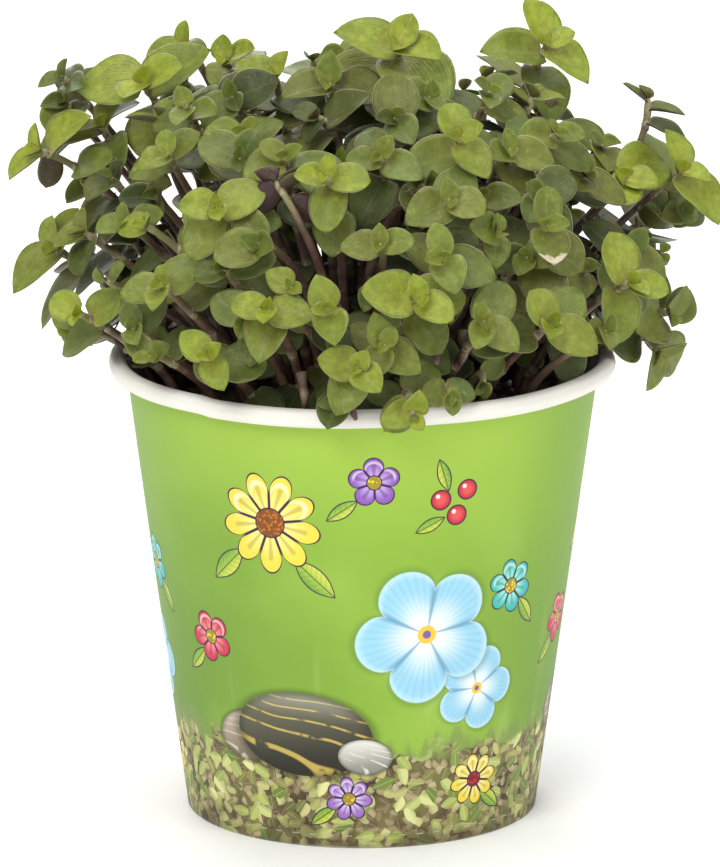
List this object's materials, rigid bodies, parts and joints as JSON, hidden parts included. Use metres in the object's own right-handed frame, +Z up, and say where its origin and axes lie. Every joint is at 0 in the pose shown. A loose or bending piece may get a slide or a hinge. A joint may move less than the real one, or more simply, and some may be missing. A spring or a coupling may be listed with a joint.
{
  "type": "potted turtle vine",
  "caption": "Turtle vine in a round paperboard cup with a rolled rim: a dense domed cushion of small ovate leaves on thin stems above dark soil.",
  "frame": {"origin": "on the surface it stands on, under the middle of the cup", "axes": "+Z up along the cup's axis; -Y towards the viewer of the picture, +X to the viewer's right"},
  "size_m": [0.1674, 0.1475, 0.1889],
  "materials": {
    "printed_board": "satin coated, printed green outside, plain white rim",
    "base_board": "matt, unprinted",
    "potting_mix": "rough, damp",
    "foliage": "matt, fleshy"
  },
  "bodies": {
    "root": {"cup_wall": "printed_board", "cup_base": "base_board", "soil": "potting_mix", "shoot_01": "foliage", "shoot_02": "foliage", "shoot_03": "foliage", "shoot_04": "foliage", "shoot_05": "foliage", "shoot_06": "foliage", "shoot_07": "foliage", "shoot_08": "foliage", "shoot_09": "foliage", "shoot_10": "foliage", "shoot_11": "foliage", "shoot_12": "foliage", "shoot_13": "foliage", "shoot_14": "foliage", "shoot_15": "foliage", "shoot_16": "foliage", "shoot_17": "foliage", "shoot_18": "foliage", "shoot_19": "foliage", "shoot_20": "foliage", "shoot_21": "foliage", "shoot_22": "foliage", "shoot_23": "foliage", "shoot_24": "foliage", "shoot_25": "foliage", "shoot_26": "foliage", "shoot_27": "foliage", "shoot_28": "foliage", "shoot_29": "foliage", "shoot_30": "foliage", "shoot_31": "foliage", "shoot_32": "foliage", "shoot_33": "foliage", "shoot_34": "foliage", "shoot_35": "foliage", "shoot_36": "foliage", "shoot_37": "foliage", "shoot_38": "foliage", "shoot_39": "foliage", "shoot_40": "foliage", "shoot_41": "foliage", "shoot_42": "foliage", "shoot_43": "foliage", "shoot_44": "foliage", "shoot_45": "foliage", "shoot_46": "foliage", "shoot_47": "foliage", "shoot_48": "foliage", "shoot_49": "foliage", "shoot_50": "foliage", "shoot_51": "foliage", "shoot_52": "foliage", "shoot_53": "foliage", "shoot_54": "foliage", "shoot_55": "foliage", "shoot_56": "foliage", "shoot_57": "foliage"}
  },
  "joints": []
}
